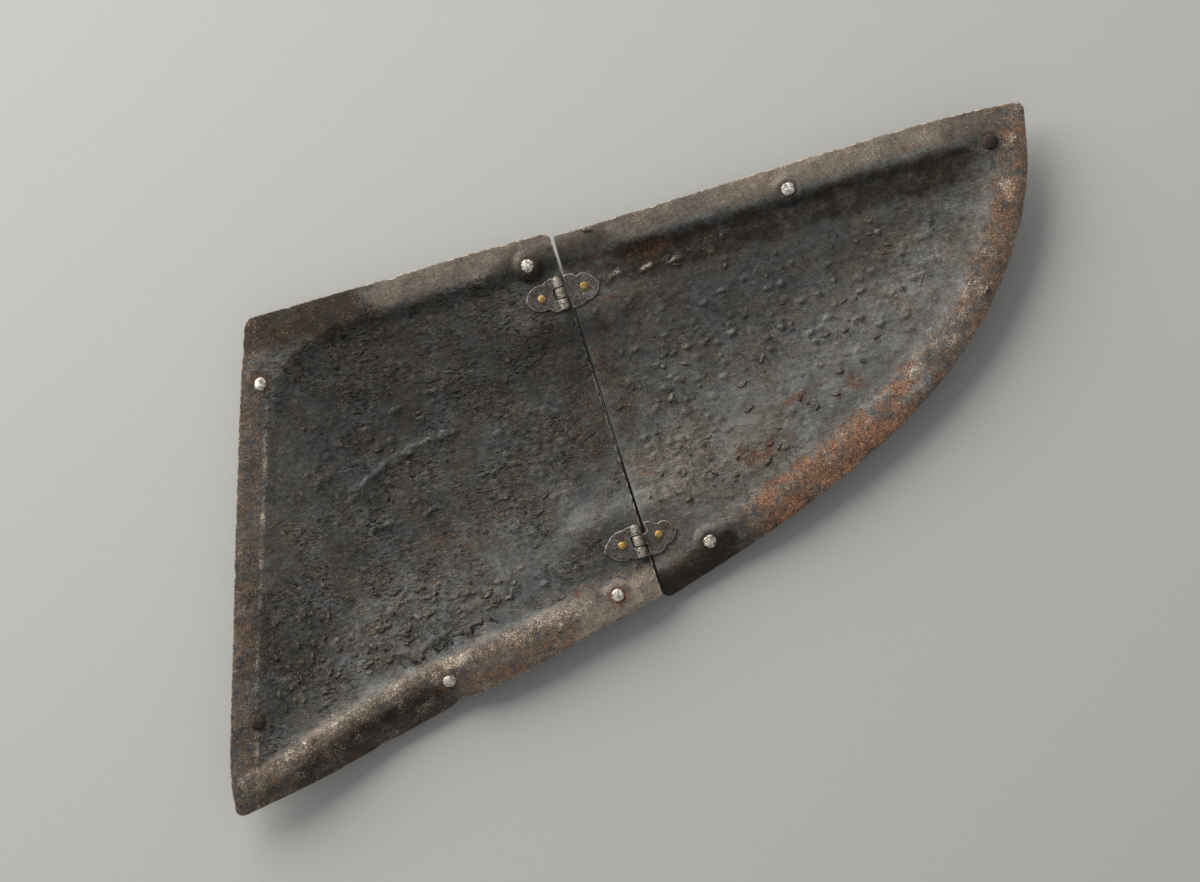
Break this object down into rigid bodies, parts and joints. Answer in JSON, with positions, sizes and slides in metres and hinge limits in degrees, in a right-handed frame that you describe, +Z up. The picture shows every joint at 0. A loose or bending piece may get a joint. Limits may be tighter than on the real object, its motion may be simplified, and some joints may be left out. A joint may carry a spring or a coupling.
{
  "type": "crinet side panel",
  "caption": "Side panel of horse-neck armour: two dished iron plates, one four-sided and one curving to a point, joined edge to edge by small cusped hinges, with lining rivets round the border.",
  "frame": {"origin": "on the surface that the panel rests on, under the middle of its bounding box", "axes": "+X along the panel to its pointed end, +Y across it to its straight edge, +Z up out of the hollow"},
  "size_m": [0.6128, 0.3026, 0.032],
  "materials": {
    "plate_iron": "corroded dark iron with scale blisters, orange rust and worn pale specks on the ridges",
    "hinge_steel": "dark worn steel with bright rubbed edges",
    "brass": "dull hammered brass",
    "white_metal": "hammered pale white metal with dark pits",
    "rusty_iron": "brown rusted iron"
  },
  "bodies": {
    "broad_side": {"broad_plate": "plate_iron", "upper_broad_leaf": "hinge_steel", "upper_hinge_pin": "hinge_steel", "upper_broad_hinge_rivet": "brass", "lower_broad_leaf": "hinge_steel", "lower_hinge_pin": "hinge_steel", "lower_broad_hinge_rivet": "brass", "rivet_left_top": "white_metal", "rivet_top_seam": "white_metal", "rivet_bottom_mid": "white_metal", "rivet_bottom_seam": "white_metal", "rivet_left_bottom": "rusty_iron"},
    "pointed_side": {"pointed_plate": "plate_iron", "upper_pointed_leaf": "hinge_steel", "lower_pointed_leaf": "hinge_steel", "upper_pointed_hinge_rivet": "brass", "lower_pointed_hinge_rivet": "brass", "rivet_top_mid": "white_metal", "rivet_curve_seam": "white_metal", "rivet_tip": "rusty_iron"}
  },
  "joints": [
    {"name": "seam_fold", "type": "hinge", "parent": "broad_side", "child": "pointed_side", "pos_m": [-0.01, 0.0237, 0.019], "axis": [0, -1, 0], "range_deg": [0, 95]}
  ]
}
